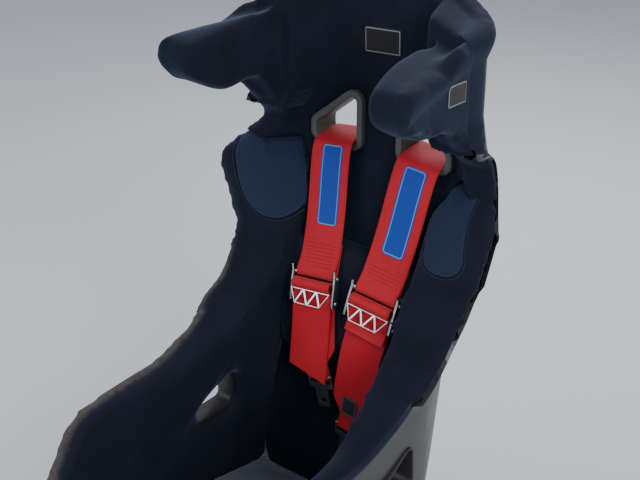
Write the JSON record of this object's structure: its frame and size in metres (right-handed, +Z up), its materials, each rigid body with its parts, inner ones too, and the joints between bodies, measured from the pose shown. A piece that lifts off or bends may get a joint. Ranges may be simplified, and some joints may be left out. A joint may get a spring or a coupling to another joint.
{
  "type": "racing bucket seat",
  "caption": "Winged one-piece racing bucket seat with fabric padding, side brackets and a red shoulder harness led through slots beside the head rest.",
  "frame": {"origin": "centre of the four floor bolts, on the underside of the two side brackets' feet", "axes": "+Z up, +X to the sitter's left, +Y to the rear"},
  "size_m": [0.5242, 0.6834, 0.99],
  "materials": {
    "shell": "gloss glass-fibre laminate",
    "velour": "dark navy velour, worn",
    "mesh": "navy mesh",
    "suede": "pale blue-grey suede",
    "rim": "dull grey-green",
    "bracket": "satin black",
    "steel": "dull steel",
    "satin_metal": "satin",
    "webbing": "bright red webbing"
  },
  "bodies": {
    "seat": {"shell": "shell", "head_pad": "velour", "back_pad": "velour", "squab_cushion": "suede", "lumbar_cushion": "velour", "head_wing_pad_left": "velour", "head_wing_pad_right": "velour", "shoulder_pad_left": "mesh", "shoulder_pad_right": "mesh", "side_bolster_left": "velour", "side_bolster_right": "velour", "thigh_bolster_left": "velour", "thigh_bolster_right": "velour", "harness_slot_rim_left": "rim", "harness_slot_rim_right": "rim", "lap_opening_rim_left": "rim", "lap_opening_rim_right": "rim", "crotch_opening_rim": "rim", "bracket_left": "bracket", "bracket_right": "bracket", "shell_bolts_left": "steel", "shell_bolts_right": "steel", "shoulder_strap_left": "webbing", "shoulder_strap_right": "webbing", "lower_strap_left": "webbing", "lower_strap_right": "webbing", "adjuster_left": "satin_metal", "adjuster_right": "satin_metal", "anchor_plate_left": "steel", "anchor_plate_right": "steel"},
    "tongue_left": {"tongue_left": "steel"},
    "tongue_right": {"tongue_right": "steel"}
  },
  "joints": [
    {"name": "tongue_left_swing", "type": "hinge", "parent": "seat", "child": "tongue_left", "pos_m": [0.03295, 0.1, 0.2455], "axis": [-0.9924, 0, 0.1229], "range_deg": [0, 60]},
    {"name": "tongue_right_swing", "type": "hinge", "parent": "seat", "child": "tongue_right", "pos_m": [-0.02518, 0.098, 0.3255], "axis": [-0.9779, 0, -0.209], "range_deg": [0, 60]}
  ]
}
